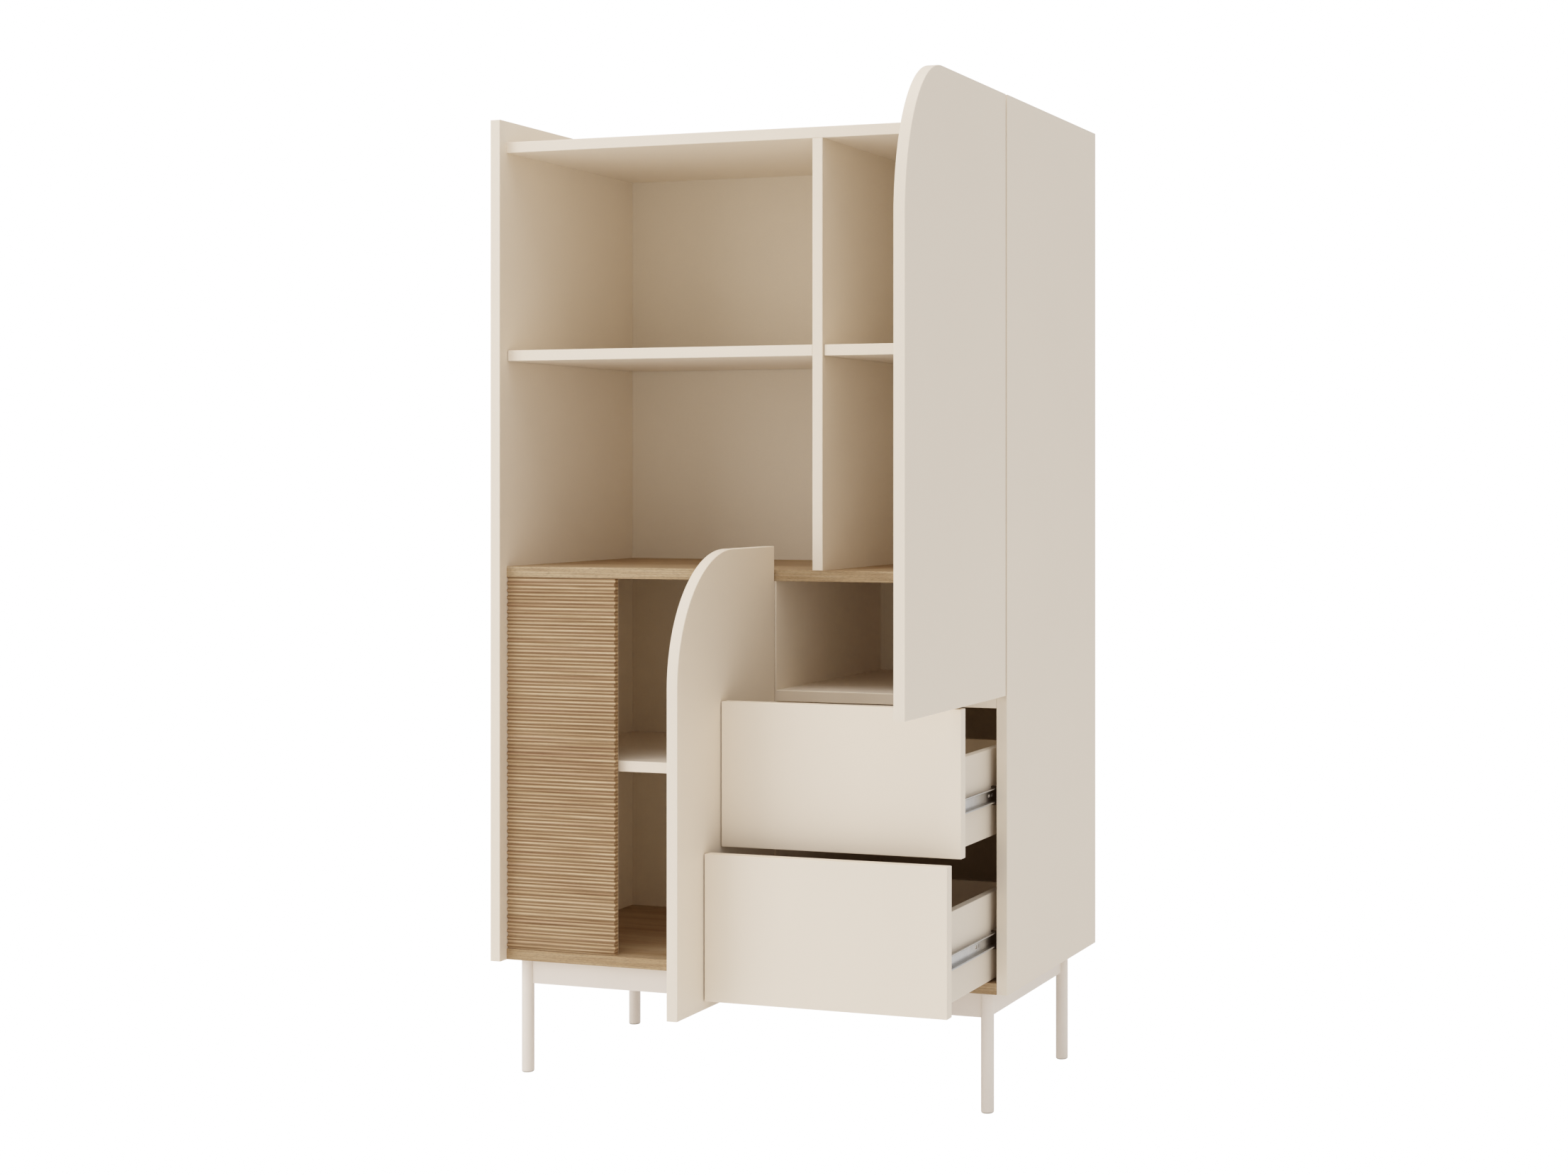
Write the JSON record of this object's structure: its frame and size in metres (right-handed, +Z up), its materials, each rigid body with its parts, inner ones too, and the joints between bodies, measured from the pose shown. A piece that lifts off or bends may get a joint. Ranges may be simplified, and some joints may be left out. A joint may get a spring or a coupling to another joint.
{
  "type": "shelf unit",
  "caption": "Tall cabinet of open compartments on a steel underframe, with a ribbed fixed front, doors with an elliptical corner and handleless drawers.",
  "frame": {"origin": "on the floor, under the middle of the box round the unit with its doors open and its drawers pulled out as in the picture", "axes": "+Z up, -Y the way the open front faces, +X to the right for someone who faces the front"},
  "size_m": [0.81, 0.7362, 1.415],
  "materials": {
    "cream_laminate": "matt cream decor on particle board, edge banded",
    "oak_decor": "light oak decor with fine straight grain",
    "back_sheet": "thin painted fibre board",
    "drawer_board": "smooth off-white foil",
    "powder_coat": "warm white powder coat, satin",
    "zinc_steel": "bright zinc plated steel",
    "hinge_steel": "nickel plated steel",
    "beech": "plain beech",
    "glide_plastic": "moulded plastic",
    "soft_dot": "clear soft elastomer"
  },
  "bodies": {
    "carcass": {"left_side_panel": "cream_laminate", "right_side_panel": "cream_laminate", "top_panel": "cream_laminate", "upper_divider": "cream_laminate", "lower_divider": "cream_laminate", "niche_shelf": "cream_laminate", "upper_left_shelf": "cream_laminate", "upper_right_shelf": "cream_laminate", "lower_left_shelf": "cream_laminate", "bottom_panel": "oak_decor", "middle_shelf": "oak_decor", "ribbed_front": "oak_decor", "back_panel": "back_sheet", "front_left_leg": "powder_coat", "rear_left_leg": "powder_coat", "front_right_leg": "powder_coat", "rear_right_leg": "powder_coat", "frame_front_rail": "powder_coat", "frame_rear_rail": "powder_coat", "frame_left_rail": "powder_coat", "frame_right_rail": "powder_coat", "frame_plates": "powder_coat", "slide_cabinet_members": "zinc_steel", "slide_screws": "zinc_steel", "wood_screws": "zinc_steel", "wall_brackets": "zinc_steel", "cam_locks": "zinc_steel", "cam_bolts": "zinc_steel", "shelf_pins": "zinc_steel", "hinge_plates": "hinge_steel", "hinge_arms": "hinge_steel", "dowels": "beech", "leg_glides": "glide_plastic", "bumpers": "soft_dot"},
    "upper_door": {"upper_door": "cream_laminate", "upper_door_hinge_cups": "hinge_steel", "upper_door_hinge_pins": "hinge_steel", "upper_door_cup_screws": "hinge_steel"},
    "lower_door": {"lower_door": "cream_laminate", "lower_door_hinge_cups": "hinge_steel", "lower_door_hinge_pins": "hinge_steel", "lower_door_cup_screws": "hinge_steel"},
    "upper_cages": {"upper_drawer_ball_cages": "zinc_steel"},
    "lower_cages": {"lower_drawer_ball_cages": "zinc_steel"},
    "upper_drawer": {"upper_drawer_front": "cream_laminate", "upper_drawer_left_side": "drawer_board", "upper_drawer_right_side": "drawer_board", "upper_drawer_back": "drawer_board", "upper_drawer_bottom": "back_sheet", "upper_drawer_dowels": "beech", "upper_drawer_screws": "zinc_steel", "upper_drawer_slide_members": "zinc_steel"},
    "lower_drawer": {"lower_drawer_front": "cream_laminate", "lower_drawer_left_side": "drawer_board", "lower_drawer_right_side": "drawer_board", "lower_drawer_back": "drawer_board", "lower_drawer_bottom": "back_sheet", "lower_drawer_dowels": "beech", "lower_drawer_screws": "zinc_steel", "lower_drawer_slide_members": "zinc_steel"}
  },
  "joints": [
    {"name": "upper_door_hinge", "type": "hinge", "parent": "carcass", "child": "upper_door", "pos_m": [0.3973, -0.02445, 0.98125], "axis": [0, 0, 1], "range_deg": [-90, 5]},
    {"name": "lower_door_hinge", "type": "hinge", "parent": "carcass", "child": "lower_door", "pos_m": [0.0448, -0.02445, 0.4705], "axis": [0, 0, 1], "range_deg": [-90, 0]},
    {"name": "upper_drawer_slide", "type": "slide", "parent": "carcass", "child": "upper_drawer", "axis": [0, -1, 0], "range_m": [-0.149, 0.111]},
    {"name": "lower_drawer_slide", "type": "slide", "parent": "carcass", "child": "lower_drawer", "axis": [0, -1, 0], "range_m": [-0.197, 0.063]},
    {"name": "upper_cages_roll", "type": "slide", "parent": "carcass", "child": "upper_cages", "axis": [0, -1, 0], "range_m": [-0.075, 0.056]},
    {"name": "lower_cages_roll", "type": "slide", "parent": "carcass", "child": "lower_cages", "axis": [0, -1, 0], "range_m": [-0.099, 0.032]}
  ],
  "couplings": [
    {"joint": "upper_cages_roll", "follows": "upper_drawer_slide", "ratio": 0.5},
    {"joint": "lower_cages_roll", "follows": "lower_drawer_slide", "ratio": 0.5}
  ]
}
